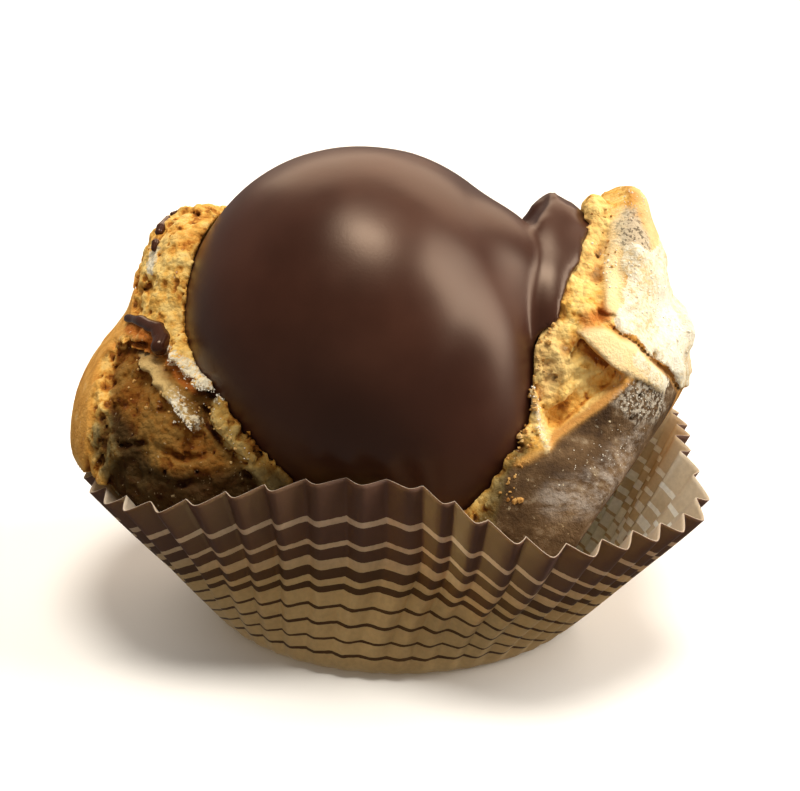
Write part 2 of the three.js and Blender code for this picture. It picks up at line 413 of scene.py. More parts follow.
def outside_room(p, clear=0.45):
    """Distance outside the space in the case: inside it below its rim, and anywhere above it."""
    azimuth = np.arctan2(p[:, 1], p[:, 0])
    radius = np.hypot(p[:, 0], p[:, 1])
    lean = lean_at(azimuth)
    foot = math.pi / 2 - lean
    dr = radius - BASE_RADIUS - BEND * np.sin(foot)
    dz = p[:, 2] - PAPER / 2 - BEND * (1 - np.cos(foot))
    along = dr * np.sin(lean) + dz * np.cos(lean) + BEND * foot
    across = dr * np.cos(lean) - dz * np.sin(lean)
    wall = across + pleat_depth(along) + clear - 1.1 * np.maximum(along - WALL, 0)
    return soft_max(wall, 0.9 - p[:, 2], 2.0)


# ---- the chocolate-coated dome

DOME = ((-5.5, -1, 40.5), (24.5, 28.5, 24.5), 0)
SHOULDER = ((9.5, -2.5, 46.5), (11, 13, 11.5), 0)  # swelling at the upper right
CHEEK = ((9, -12, 37), (8.3, 11, 12), 0)  # swelling at the right of the front
TOE = ((6.5, -9, 27.5), (12.5, 17.3, 14), 0)  # at the front rim of the case
FIN = ((19.8, -4.6, 48.5), (7.8, 14.2, 5.2), 0, 37)  # coating laid up the right half's face
TIP = (((16.8, -6, 50.6), (18.2, -1, 54.4), (21.1, 4, 57.8)), (0.6, 0.7, 0.5))  # the fin's raised margin
FIN_OUTLINE = (  # in x and z
    (21.3, 58.2), (23.4, 56.4), (25.4, 54.6), (24.1, 52.6), (23, 50.9), (21.6, 49), (20.8, 47.3), (20.6, 45.5),
    (18.4, 43.9), (17.2, 42.9), (16.6, 41.2), (13, 41.2), (13.4, 42.5), (14.4, 47), (15.9, 50.1), (17.2, 53.6),
    (18.8, 55.8),
)
DOME_LOW, DOME_HIGH = (-31.5, -31, 12), (29.5, 29, 66.5)  # the box that its mesh is made in


def dome_body(p):
    """Distance outside the smooth coating."""
    body = soft_min(ellipsoid(p, *DOME), ellipsoid(p, *SHOULDER), 2.5)
    body = soft_min(body, ellipsoid(p, *CHEEK), 5)
    body = soft_min(body, ellipsoid(p, *TOE), 7)
    fin = soft_min(ellipsoid(p, *FIN), strand(p, *TIP), 1.2)
    fin = soft_max(fin, -inside(p, FIN_OUTLINE, 0.35, back=40), 0.6)
    return soft_min(body, fin + 0.35 * noise(p, 6, 6.0), 1.1)


def dome_field(p, base=None):
    """Distance outside the coating with its slight unevenness, trimmed to the room in the case."""
    base = dome_body(p) if base is None else base
    d = base + 0.3 * noise(p, 15, 2.0) + 0.07 * noise(p, 6, 5.0)
    return soft_max(d, outside_room(p, 0.6), 1.0)


def make_dome():
    """The chocolate dome, with how far it faces up as an attribute."""
    pitch = GRID_MM * 1.25
    values, corner = field_grid(DOME_LOW, DOME_HIGH, pitch, dome_body, dome_field, 4)
    points, quads = largest_piece(*surface_net(values, corner, pitch))
    for _ in range(2):
        points, slope = settled(points, dome_field)
    return mesh_object("dome_chocolate", points, quads, {"up": slope[:, 2]})


# ---- the biscuit

BISCUIT = (
    ((0, 0, 12), (36, 33, 16), 0),
    ((-25, 1, 26), (21.5, 28.5, 19.5), -12),
    ((-26.5, 7, 41.5), (11, 19, 14.5), -12),
    ((22.5, 4, 34.5), (18, 25.5, 18), 0),
    ((31.3, 7, 43.5), (7.9, 17, 14.7), 2),
    ((18.5, -11, 17.5), (16.5, 21.5, 18.5), 0),
)
BISCUIT_LOW, BISCUIT_HIGH = (-48, -34, 0.5), (42.5, 31.5, 60)  # the box that its mesh is made in
# Points of two numbers are x and z on the front; points of three are places.
FACE = (  # torn face of the left half, deeper than its crust, and painted in shade
    (-37.6, 39.6), (-34, 40.2), (-31, 39.8), (-28.6, 39), (-26, 38), (-23.6, 37), (-24.4, 34), (-21.8, 31.4),
    (-18, 27), (-17, 18), (-35, 17), (-38.4, 25), (-36.2, 29), (-38, 32.4), (-38.7, 35.5), (-38.4, 38),
)
CREVICE = (  # between the strip beside the dome and the flap, with painted shade in it
    (-36.6, 40.3), (-34, 41.3), (-31.2, 40.8), (-29, 40), (-27.6, 39), (-26, 38),
    (-26.4, 37), (-28.3, 37.9), (-30, 39.2), (-33.4, 40),
)
FLAP = (  # pale flake standing on the left half's face
    (-34.8, 39.4), (-33, 39.7), (-30, 38.4), (-28.4, 36.9), (-26.4, 34.7), (-26, 33.2),
    (-28.4, 35.6), (-31, 37), (-33.6, 38.5),
)
RECESS = (  # crumb broken out of the right half
    (19.4, 32.2), (22.6, 34.2), (25.5, 36), (27.6, 37.4), (28.8, 38.7), (28, 39.8), (26.5, 41), (24.5, 42.9),
    (23, 43.8), (22.2, 42.3), (20.8, 40), (18.6, 38.8), (17.3, 38), (17.4, 36.6), (18.3, 34.4),
)
HOLLOW = ((15, 44), (18, 47), (21.6, 46.4), (23, 43.9), (22, 41), (19, 38.6), (16, 38))  # above it, shallower
RECESS_LOW = (  # its lowest part, with painted shade on its crumb
    ((19.4, 33.2), (22.6, 35.3), (25.5, 37), (27.4, 38.4)), (1.0, 1.2, 0.9, 0.5),
)
BRINK = (  # thin wall at its left
    (16.2, 38.4), (17.2, 38), (18.2, 34.6), (19.4, 32.2), (18.4, 31), (17.2, 33.4),
)
LIP = (  # flap of crust over the recess
    (22.9, 44.3), (24.2, 44.9), (26.2, 44.7), (28, 43.7), (30.5, 42.1), (32.6, 40), (34.8, 37.4), (34.6, 35.8),
    (33.3, 36.4), (31.7, 37.8), (29.5, 39.1), (28, 39.8), (26.5, 41), (24.8, 42.8), (23.8, 43.6),
)
LIP_SHADE = (((22.4, 43.4), (24.4, 41.8), (26.6, 40)), (0.5, 0.8, 0.6))  # painted shade on the crumb under the lip
PLATE_EDGE = (  # raised edge of the smooth plate under the recess
    ((18.9, 31.8), (22.6, 34), (25.5, 35.8), (27.6, 37.2), (29.4, 38.4)), (0.2, 0.3, 0.35, 0.35, 0.2),
)
PLATE_TOP = ((15, 18.9, 22.6, 25.5, 27.6, 29.4), (30, 31.8, 34, 35.8, 37.2, 38.6))  # its x, and its z there
CHUNK = ((26.6, 4, 55.4), (2.5, 4.5, 3), 0)  # crumb standing at the top of the right half
CREST = ((32, 5, 55.3), (2.7, 6, 3.5), 0)  # crust at the right half's top
BAND = (  # crumb beside the fin
    ((26.8, 1.5, 55), (25.4, -1.5, 51.5), (24, -6, 48), (22.6, -9.5, 45)), (3, 3.4, 3.4, 3.2),
)
STRIP_LOW = (((-25, 36.6), (-22, 33), (-18.4, 28.8)), (1.8, 1.9, 1.8))  # low crumb beside the dome, with painted shade on it
HOLES = (  # single deep pores: place and radius
    ((-38.4, -7.8, 38.7), 0.55), ((-38.4, -13.2, 37), 0.6), ((-38.6, -15.8, 35.1), 0.5),
    ((-38.1, -19.9, 32), 0.5), ((-39.2, -20.5, 28.1), 0.5), ((-40.4, -14, 33.2), 0.35),
    ((-40.8, -17, 30), 0.35), ((-34.5, -3.1, 47.9), 0.5), ((-31.6, -7.7, 48.7), 0.45),
    ((-29.8, -9.4, 48.2), 0.4), ((-29.1, -10.5, 47.3), 0.45), ((-28.7, -11.9, 45.5), 0.4),
    ((-39.6, -12, 35.6), 0.4), ((-39.8, -16.4, 32.4), 0.45), ((-39.4, -18.6, 30), 0.4),
    ((-37.6, -21, 29.6), 0.4), ((33.2, -14.6, 40.6), 0.45), ((34.6, -14, 40), 0.4),
    ((31.2, -17.8, 35.9), 0.55), ((30.2, -19.4, 33.4), 0.5),
)
FLAKE = (((38.4, -4, 42.5), (39, -5, 40.5), (38.8, -6, 38.5)), (0.7, 1.1, 0.8))  # lifted crust at the right
CRACKS = (  # strokes, each with its depth
    (
        ((26.9, 44.6), (28.4, 43.8), (30.4, 42.4), (32.6, 40.3), (35.9, 36.9), (37.2, 34.4)),
        (0.02, 0.05, 0.12, 0.2, 0.22, 0.1), 1.0,
    ),
    (((-25, 35.2), (-24.2, 33.6), (-22, 31.5), (-19.6, 29.2)), (0.3, 0.35, 0.35, 0.3), 1.2),
    (
        ((-36.4, 29.6), (-34, 30.6), (-31.2, 30.9), (-27.6, 29.9), (-25.4, 30), (-23.4, 31)),
        (0.15, 0.2, 0.25, 0.25, 0.2, 0.1), 0.65,
    ),
    (((-30, 33), (-28, 31.9)), (0.2, 0.1), 0.6),
    (((-32, 27.4), (-28.5, 26.6), (-24, 27.2)), (0.15, 0.25, 0.15), 0.7),
    (
        ((-38.8, 39.4), (-38.7, 37), (-38.9, 34.8), (-38, 32.4), (-38.4, 28.6), (-39.8, 26)),
        (0.25, 0.3, 0.35, 0.3, 0.2, 0.1), 0.8,
    ),
)
SPLIT = CRACKS[0][:2]  # between the lip and the sugared crust
UNDERSIDE = ((37.1, -11.1, 32.5), (0.812, -0.312, -0.493))  # a point and normal where it lifts off the case
EDGE = (((29, 56.2), (27.7, 51), (27.2, 46.2)), (0.7, 0.9, 0.8))  # the right crust's cut edge, standing proud
EDGE_PALE = (((29.6, 56.2), (28.4, 51), (27.9, 46.4)), (1.0, 1.4, 1.3))  # and its pale surface
EDGE_SHADE = (((26.9, 53.5), (25.9, 49), (25.8, 45.9), (24.6, 45.7)), (0.4, 0.5, 1.0, 0.9))  # its groove, with painted shade in it
CRUMB_PORES = ((3.4, 0.25, 0.62, 0.35, 1.0), (1.7, 0.2, 0.4, 0.45, 2.0))  # as the pores function takes them
CLUMP, GRAIN = 2.7, 1.15  # widths of the crumb's clumps and grains
CRACKLE = (8.5, 3.0)  # width of the back crust's plates, and their shift
WHITE = (  # thick sugar on the right half
    (29.3, 52.3), (32, 52.8), (36, 52), (41, 50), (44, 40), (40, 32.5), (37.2, 34.6), (35.9, 37), (32.6, 40.5),
    (30.4, 42.6), (27.8, 44.8), (28.8, 48),
)
ICED = (  # strokes with sugar dusted on, and how thickly
    (((-31, 40.9), (-28, 39.9), (-25.6, 38.6), (-23.6, 37.4)), (0.6, 0.9, 1.1, 0.8), 0.6),
    (((-29, 36.6), (-26, 34)), (0.7, 0.6), 0.5),
    (((-33.3, 51.4), (-33.9, 49.2)), (0.4, 0.4), 0.9),
    (((30.8, 40.9), (33, 38.6), (34.6, 36.5)), (0.7, 0.9, 0.7), 0.85),
    (((16.6, 37.8), (17.6, 34.6), (18.4, 32)), (0.3, 0.3, 0.3), 0.5),
)
SHADE_STROKES = (  # how much painted shade darkens the crumb, and strokes where it is
    (1, (((-37, 30), (-34, 25), (-26, 24), (-18, 25)), (3.5, 4, 4, 4))),
    (1, (((15.6, 31), (14, 27), (12.5, 22), (9, 18)), (1.2, 2.2, 3, 3))),
    (0.6, STRIP_LOW),
)
CREAM = (((17.6, 44), (19.4, 40.6), (19, 37.4)), (2.6, 2.2, 1.0))  # pale crumb at the recess's left
SHADE_PATCH = (((26.4, 45.9), (24, 45.6)), (0.9, 0.8))  # painted shade spot above the lip
ROAST = (((-37, 41.8), (-34, 41.8), (-31.6, 41.2), (-30.4, 40.4)), (0.8, 0.9, 0.9, 0.7))  # by the drip
DUST = (((31, -2.4, 56.6), (31.6, -4.8, 53.4)), (1.8, 2.2))  # thin grey sugar near the right half's crest
SMEAR = (((19, 26.4), (24, 26.6), (28, 28.6), (31.4, 31.4)), (1.5, 2.2, 2, 1.2))  # sugar rubbed on it
SPECKLE = ((28.6, 38.2), (31, 38.6), (34.4, 36.4), (35, 33.4), (31, 32), (28.4, 34.6))  # grey specks on it
RIM = (  # golden edge down the plate's right side
    ((37.5, 33.6), (35.9, 29.8), (35, 23.6), (31.6, 20.2), (27.6, 17)), (0.3, 0.4, 0.4, 0.4, 0.4),
)
GOLD_TIP = (((38.2, -6, 43.8), (38.9, -8.4, 41.2)), (0.8, 0.8))  # golden edge at the sugared crust's right
FORM_BAND = 9  # the front's features are worked out this near to the surface
CAVITY_REACH = (0.6, 1.6)  # how far out from the surface its hollows are felt, for the painted shade in them


def biscuit_form(p):
    """Distance outside the biscuit's large shape, without the dome's hollow."""
    lifted = (p - np.array(UNDERSIDE[0], np.float32)) @ np.array(UNDERSIDE[1], np.float32)
    d = soft_max(melted(p, BISCUIT, 1.5), lifted, 1.0)
    near = np.abs(d) < FORM_BAND
    q = p[near]
    form = soft_min(soft_min(d[near], strand(q, *BAND), 1.5), ellipsoid(q, *CHUNK), 0.8)
    form = form + 1.7 * step(q[:, 0], 31, 36) * step(q[:, 2], 41, 44.5)  # the right crust slopes away
    form = soft_min(form, ellipsoid(q, *CREST), 1.0)
    flap = zone(q, FLAP, -0.2, 0.5)
    sunk = np.maximum(1.2 * zone(q, FACE, -0.3, 0.5), 1.4 * zone(q, CREVICE, -0.2, 0.5))
    form = form + sunk * (1 - flap) - 0.35 * flap
    recess = 0.6 + 1.5 * step(q[:, 0], 20.5, 25)  # its depth, greater at the right
    form = form + 0.9 * drawn(q, RECESS_LOW, -0.9, 0)
    form = form + recess * zone(q, RECESS, -0.1, 0.35) + 0.4 * zone(q, HOLLOW, -1.2, 1.0, ragged=0.6)
    form = form + 0.5 * drawn(q, STRIP_LOW, -0.6, 0.6)
    form = form - 0.45 * drawn(q, EDGE, -0.4, 0.3) + 0.2 * drawn(q, EDGE_SHADE, -0.5, 0.4)
    form = form - 0.5 * zone(q, BRINK, -0.2, 0.3) - 0.6 * zone(q, LIP, -0.25, 0.25, ragged=0.15)
    form = form - 0.3 * drawn(q, PLATE_EDGE, -0.5, 0)
    d[near] = soft_min(form, strand(q, *FLAKE), 0.5)
    return d


def plate_side(p):
    """How high a place is above the smooth plate's upper edge, in mm."""
    edge = np.interp(p[:, 0], *PLATE_TOP)
    return p[:, 2] - edge + 0.25 * noise(p, 2.4, 15.0)


def crumb_side(p):
    """How far a place is on the crumb's side of the crust's torn edge, in mm."""
    x, y, z = p.T
    left = np.where(z > 43, x + 36.6, np.where(y < -6, x + 41 + 0.08 * (33 - z), x + 36))
    front = np.maximum(np.minimum(28.2 - x, plate_side(p)), np.interp(z, (22, 28, 32), (11.5, 13.4, 16)) - x)
    right = np.where((y < -10) & (z < 46), front, np.interp(z, (44, 50, 55, 57.5), (26, 26.7, 28.3, 31)) - x)
    side = np.minimum(np.where(x < 0, left, right), 22 - y)
    return side + 0.5 * fractal(p, 3, 3, 9.0)


def crumb_share(p):
    """1 where the crumb is broken open and 0 on the baked crust."""
    bare = step(crumb_side(p), -0.35, 0.35)
    lip = zone(p, LIP, -0.3, 0.1, ragged=0.15)
    return bare * (1 - lip) * (1 - drawn(p, PLATE_EDGE, -0.2, 0.2))


def relief(p, crumb):
    """How far the surface lies below the large shape."""
    first, _, mark = cells(p, CLUMP, 5.0)
    clumps = 0.45 * (mark - 0.5) + 0.9 * (first / CLUMP) ** 2
    grains = 0.7 * (cells(p, GRAIN, 8.0)[0] / GRAIN) ** 2
    torn = fractal(p, 3.6, 3, 4.0)
    pits = 0.7 * step(torn, 0.25, 0.5) - 0.3 * step(-torn, 0.1, 0.5)
    broken = 0.25 + 0.35 * fractal(p, 7.5, 2, 1.0) + clumps + grains + pits
    first, second, _ = cells(p, *CRACKLE)
    crackle = 0.55 * np.exp(-(((second - first) / 0.4) ** 2)) * step(noise(p, 14, 7.0), -0.5, 0.1)
    crackle = crackle * step(p[:, 1], 0, 4)
    baked = 0.3 + 0.2 * fractal(p, 9, 3, 2.0) + 0.06 * fractal(p, 1.6, 2, 3.0) + crackle
    cracks = 0
    for points, radii, depth in CRACKS:
        cracks = np.maximum(cracks, depth * drawn(p, (points, radii), -0.3, 0.15))
    coat = zone(p, WHITE, -0.3, 0.3, ragged=0.9, back=3.0)
    sugar = coat * (0.3 + 0.75 * fractal(p, 2.6, 3, 12.0))
    return crumb * broken + (1 - crumb) * (baked - sugar) + cracks


def biscuit_field(p):
    """Distance outside the biscuit in full detail."""
    crumb = crumb_share(p)
    d = biscuit_form(p) + relief(p, crumb)
    close = (np.abs(d) < 2.5) & (crumb > 0.05)
    closed = 1.6 * (1 - crumb[close])
    for kind in CRUMB_PORES:
        d[close] = np.maximum(d[close], -(pores(p[close], *kind) + closed))
    for place, radius in PRESSED:
        close = np.abs(p - place).max(1) < 1.5
        d[close] = np.maximum(d[close], radius - np.linalg.norm(p[close] - place, axis=1))
    d = soft_max(d, -(dome_body(p) - 0.1), 0.4)
    return soft_max(d, outside_room(p), 0.3)


def pressed(holes, sink=0.35):
    """The single pores, brought to just under the surface."""
    def poreless(p):
        return biscuit_form(p) + relief(p, crumb_share(p))

    centres, slope = on_surface(np.array([place for place, _ in holes]), poreless)
    return list(zip((centres - slope * sink).astype(np.float32), [radius for _, radius in holes]))


def biscuit_coarse(p):
    """Distance outside the biscuit's large shape, hollowed and trimmed."""
    return np.maximum(np.maximum(biscuit_form(p), -dome_body(p)), outside_room(p))


PRESSED = pressed(HOLES)


def sugared(p):
    """How thickly each place is covered in white sugar."""
    split = drawn(p, SPLIT, -0.35, 0.1)
    first, second, mark = cells(p, *CRACKLE)
    back = step(p[:, 1], 0, 4) * step(mark, 0.4, 0.45) * step(second - first, 0.5, 1.1)
    iced = zone(p, WHITE, -0.4, 0.6, ragged=0.9, back=3.0)
    for points, radii, thick in ICED:
        iced = np.maximum(iced, thick * drawn(p, (points, radii), -0.9, 0.4, back=4.0))
    return np.maximum(iced, back * step(-crumb_side(p), 1, 2)) * (1 - split)


def colour_shares(p):
    """How much of each look every place has, for the material."""
    def highest(*shares):
        return np.maximum.reduce(shares)

    crevice = zone(p, CREVICE, -0.3, 0.3)
    lip_shade = 0.5 * drawn(p, LIP_SHADE, -0.6, 0.4)
    # painted shade on the left ridge's top
    ridge_top_shade = step(p[:, 2], 49, 53) * step(-p[:, 0], 20, 24)
    return {
        "crumb": crumb_share(p),
        "white": sugared(p),
        "dust": step(-strand(p, *DUST), -2.2, 1.4),
        "smear": drawn(p, SMEAR, -1.5, 1.5),
        "speckle": zone(p, SPECKLE, -1, 1, ragged=1.2),
        "pale": highest(
            drawn(p, EDGE_PALE, -0.5, 0.3, back=2.0), zone(p, LIP, -0.3, 0.2, ragged=0.15),
            0.8 * zone(p, FLAP, -0.3, 0.4), zone(p, BRINK, -0.1, 0.3),
            0.7 * step(p[:, 0], 31, 34) * step(p[:, 2], 44, 47),
            0.9 * drawn(p, CREAM, -1.2, 1.0), 0.5 * step(-strand(p, *BAND), -1.2, 0.5),
        ),
        "painted_shade": highest(*(share * drawn(p, line, -1.2, 1.0) for share, line in SHADE_STROKES)),
        "gold": highest(
            drawn(p, PLATE_EDGE, -0.2, 0.1), drawn(p, RIM, -0.3, 0.1, back=8.0), drawn(p, SPLIT, -0.35, 0.1),
            step(-strand(p, *GOLD_TIP), -0.4, 0.4),
        ),
        "toast": step(-plate_side(p), -0.4, 1.1) * step(p[:, 0], 9, 12) * step(-p[:, 1], 4, 10),
        # deep: painted shade in the crevice, the edge's groove, the recess's bottom, under the lip and on the
        # left ridge's top
        "deep": 0.35 * ridge_top_shade + highest(
            1.3 * crevice, 0.4 * drawn(p, EDGE_SHADE, -0.5, 0.5), drawn(p, RECESS_LOW, -0.8, 0.6), lip_shade,
        ),
        "face": zone(p, FACE, -0.5, 0.5),
        # roast colour: real by the drip, painted shade in the crevice, under the lip and above it
        "roast_and_shade": highest(
            drawn(p, ROAST, -0.6, 0.5), 0.9 * drawn(p, SHADE_PATCH, -0.6, 0.5), 0.6 * crevice, lip_shade,
        ),
    }


def make_biscuit():
    """The biscuit, with the shares of its looks as attributes."""
    def fine(p, _):
        return biscuit_field(p)

    values, corner = field_grid(BISCUIT_LOW, BISCUIT_HIGH, GRID_MM, biscuit_coarse, fine, band=3.6)
    points, quads = largest_piece(*surface_net(values, corner, GRID_MM))
    p = points.astype(np.float32)
    _, slope = settled(points, biscuit_field, 0.3)
    # the cavity share lays painted shade in the crumb's hollows
    cavity = sum(1 - biscuit_field(p + slope * far) / far for far in CAVITY_REACH) / len(CAVITY_REACH)
    return mesh_object("biscuit_crumb", points, quads, {"cavity": cavity, **colour_shares(p)})


# ---- drips, crumbs and sugar grains

DRIPS = (  # chocolate run down the left ridge
    (
        ((-36.8, -3.2, 42.1), (-34.7, -7, 42.9), (-32.4, -10.6, 42.8), (-31.2, -12.6, 42.2)),
        (0.6, 0.8, 1.05, 1.3),
    ),
    (((-31.2, -12.6, 42.2), (-31.6, -13.4, 41.4)), (1.3, 1.1)),
    (((-32.4, 6.4, 54), (-33, 3.4, 53.4), (-33.1, 2.6, 53)), (0.35, 0.7, 0.6)),
    (((-33.3, -0.4, 52.1), (-33.5, -1.2, 51.5)), (0.6, 0.5)),
    (((-31.6, 8.6, 54.8), (-31.9, 7.6, 54.4)), (0.3, 0.3)),
)
DRIPS_LOW, DRIPS_HIGH = (-40.5, -17, 39), (-29, 11, 57)  # the box that their mesh is made in
DRIP_LIFT = 0.15
CRUMB_FALLS = (  # from, to, spread, number, and the least and greatest size
    ((17, -19.4, 40), (15.6, -23.6, 31.6), 1.0, 46, 0.3, 0.8),
    ((19.4, -15.6, 45.4), (17.4, -18.4, 40.4), 0.9, 26, 0.3, 0.7),
    ((15.6, -24.6, 30.4), (13.4, -28.6, 26), 1.2, 22, 0.25, 0.6),
    ((14.2, -28.8, 26), (15.2, -28.6, 25.6), 0.3, 4, 0.7, 1.4),
    ((27, 4, 57), (28, -8, 50), 1.0, 16, 0.3, 0.5),
    ((25, 0, 54), (21.8, -8, 46), 0.7, 50, 0.25, 0.6),
    ((-27, -19.6, 38.6), (-20, -25.6, 30), 0.7, 26, 0.25, 0.5),
    ((-36, -10, 38), (-28, -22, 34), 2.5, 26, 0.3, 0.7),
)
SUGAR_FALLS = (
    ((-30, -16.6, 40.4), (-23.4, -22.4, 37), 0.8, 120, 0.14, 0.3),
    ((-29, -22, 36.4), (-26, -24.6, 33.8), 0.6, 90, 0.14, 0.3),
    ((-25, -21.6, 37), (-17.6, -26.2, 28.4), 0.6, 14, 0.12, 0.22),
    ((30, -6, 51), (36, -8, 40), 4.0, 260, 0.15, 0.4),
    ((29, -19, 37), (34, -16.6, 34), 1.8, 60, 0.12, 0.24),
    ((20, -27, 28), (31, -20, 32), 2.4, 50, 0.1, 0.2),
    ((17, -19.4, 38), (18.6, -23.8, 31.6), 0.5, 50, 0.15, 0.3),
    ((30, 0, 57), (33, 6, 58), 3.0, 60, 0.12, 0.25),
)


def make_drips():
    """Runs of chocolate on the left ridge."""
    runs = [(on_surface(np.array(points), biscuit_field, DRIP_LIFT)[0], radii) for points, radii in DRIPS]

    def field(p, *_):
        return np.minimum.reduce([strand(p, *run) for run in runs]) + 0.12 * noise(p, 1.6, 14.0)

    pitch = GRID_MM * 0.6
    values, corner = field_grid(DRIPS_LOW, DRIPS_HIGH, pitch, field, field, band=1)
    points, quads = surface_net(values, corner, pitch)
    points, _ = settled(points, field)
    return mesh_object("drips_chocolate", points, quads, {"up": np.ones(len(points))})


FIFTH_TURN, PEBBLE_REACH = 1.2566, (0.34, 0.62)  # a grain has two rings of five corners and two ends


def pebble(draw):
    """Points and triangles of an uneven grain about 1 across."""
    corners = [(0, 0, 1), (0, 0, -1)]
    for height, turn in ((0.5, 0), (-0.5, 0.6)):
        corners += [(math.cos(a + turn), math.sin(a + turn), height) for a in np.arange(5) * FIFTH_TURN]
    corners = corners / np.linalg.norm(corners, axis=1)[:, None]
    corners = corners * draw.uniform(*PEBBLE_REACH, len(corners))[:, None]
    faces = []
    for k in range(5):
        a, b = 2 + k, 2 + (k + 1) % 5
        c, d = 7 + k, 7 + (k + 1) % 5
        faces += [(0, a, b), (a, c, b), (b, c, d), (1, d, c)]
    return corners, np.array(faces)


def make_grains(name, falls, seed, rise):
    """Many small grains on the biscuit, joined as one mesh and raised by a share of their size."""
    draw = np.random.default_rng(seed)
    places, sizes = [], []
    for start, end, spread, number, least, greatest in falls:
        share = draw.random(number)[:, None]
        along = np.array(start) * (1 - share) + np.array(end) * share
        places.append(along + draw.normal(0, spread / 2, (number, 3)))
        sizes.append(least + (greatest - least) * draw.random(number) ** 2)
    sizes = np.concatenate(sizes)

    centres, slope = on_surface(np.concatenate(places), biscuit_field)
    centres = centres + slope * (sizes * rise)[:, None]
    spot = centres.astype(np.float32)
    lying = (np.abs(biscuit_field(spot)) < 0.4) & (dome_body(spot) > 0.1)
    centres, sizes = centres[lying], sizes[lying]
    all_points, all_faces = [], []
    for centre, size in zip(centres, sizes):
        corners, faces = pebble(draw)
        all_faces.append(faces + len(corners) * len(all_points))
        all_points.append(centre + corners * size * draw.uniform(0.7, 1.3, 3))
    return mesh_object(name, np.concatenate(all_points), np.concatenate(all_faces), smooth=False)


# ---- materials

NOISE, VORONOI = "ShaderNodeTexNoise", "ShaderNodeTexVoronoi"
PRINTED = (  # the printed rings, from and to, as shares of the way up the wall
    (0.155, 0.168), (0.228, 0.241), (0.308, 0.322), (0.389, 0.403), (0.474, 0.507),
    (0.537, 0.586), (0.633, 0.690), (0.712, 0.8), (0.827, 1.0),
)


def material(name):
    """A new material, its node tree and its surface shader."""
    made = bpy.data.materials.new(name)
    made.use_nodes = True
    tree = made.node_tree
    tree.nodes.clear()
    out = tree.nodes.new("ShaderNodeOutputMaterial")
    shader = tree.nodes.new("ShaderNodeBsdfPrincipled")
    tree.links.new(shader.outputs[0], out.inputs[0])
    return made, tree, shader


def srgb(r, g, b):
    """A colour given in the usual 0 to 255 values, as linear light."""
    shares = (r / 255, g / 255, b / 255)
    return tuple(((v + 0.055) / 1.055) ** 2.4 if v > 0.04 else v / 12.92 for v in shares) + (1.0,)


def join(tree, value, socket):
    """Sets a socket from a number, a linear colour, another socket or the name of an attribute."""
    if isinstance(value, str):
        node = tree.nodes.new("ShaderNodeAttribute")
        node.attribute_name = value
        value = node.outputs["Fac"]
    if isinstance(value, (int, float, tuple)):
        socket.default_value = value
    else:
        tree.links.new(value, socket)


def finish(made, tree, shader, values):
    """Sets the shader's sockets, and gives back the material."""
    for name, value in values.items():
        join(tree, value, shader.inputs[name])
    return made


def texture(tree, scale, detail=4.0, rough=0.55, stretch=None, kind=NOISE):
    """A pattern in object space; scale is in features per metre."""
    made = tree.nodes.new(kind)
    made.inputs["Scale"].default_value = scale
    if kind == NOISE:
        made.inputs["Detail"].default_value = detail
        made.inputs["Roughness"].default_value = rough
    source = tree.nodes.new("ShaderNodeTexCoord").outputs["Object"]
    if stretch:
        mapping = tree.nodes.new("ShaderNodeMapping")
        mapping.inputs["Scale"].default_value = stretch
        tree.links.new(source, mapping.inputs["Vector"])
        source = mapping.outputs["Vector"]
    tree.links.new(source, made.inputs["Vector"])
    return made.outputs["Fac" if kind == NOISE else "Distance"]


def math_node(tree, operation, *values):
    made = tree.nodes.new("ShaderNodeMath")
    made.operation = operation
    for socket, value in zip(made.inputs, values):
        join(tree, value, socket)
    return made.outputs[0]


def multiply(tree, a, b):
    return math_node(tree, "MULTIPLY", a, b)


def add(tree, a, b):
    return math_node(tree, "ADD", a, b)


def scaled(tree, value, by, plus):
    """A value times by, plus another value."""
    return math_node(tree, "MULTIPLY_ADD", value, by, plus)


def ramp(tree, value, stops, mode="LINEAR"):
    """Colours at their places from 0 to 1 along a value."""
    made = tree.nodes.new("ShaderNodeValToRGB")
    made.color_ramp.interpolation = mode
    elements = made.color_ramp.elements
    while len(elements) < len(stops):
        elements.new(0.5)
    for element, (place, colour) in zip(elements, stops):
        element.position = place
        element.color = srgb(*colour)
    join(tree, value, made.inputs[0])
    return made.outputs[0]


def mix(tree, share, a, b, blend="MIX"):
    """Colour a with a share of colour b laid over it; each is a socket or usual values."""
    made = tree.nodes.new("ShaderNodeMix")
    made.data_type = "RGBA"
    made.blend_type = blend
    join(tree, share, made.inputs[0])
    for socket, value in ((made.inputs[6], a), (made.inputs[7], b)):
        join(tree, srgb(*value) if isinstance(value, tuple) else value, socket)
    return made.outputs[2]


def remap(tree, value, low, high, to_low=0.0, to_high=1.0):
    """A value from low to high brought smoothly to another range, and held at its ends."""
    made = tree.nodes.new("ShaderNodeMapRange")
    made.interpolation_type = "SMOOTHSTEP"
    for socket, number in zip(made.inputs, (value, low, high, to_low, to_high)):
        join(tree, number, socket)
    return made.outputs[0]


def bump(tree, height, distance, strength):
    made = tree.nodes.new("ShaderNodeBump")
    for name, value in (("Strength", strength), ("Distance", distance), ("Height", height)):
        join(tree, value, made.inputs[name])
    return made.outputs[0]


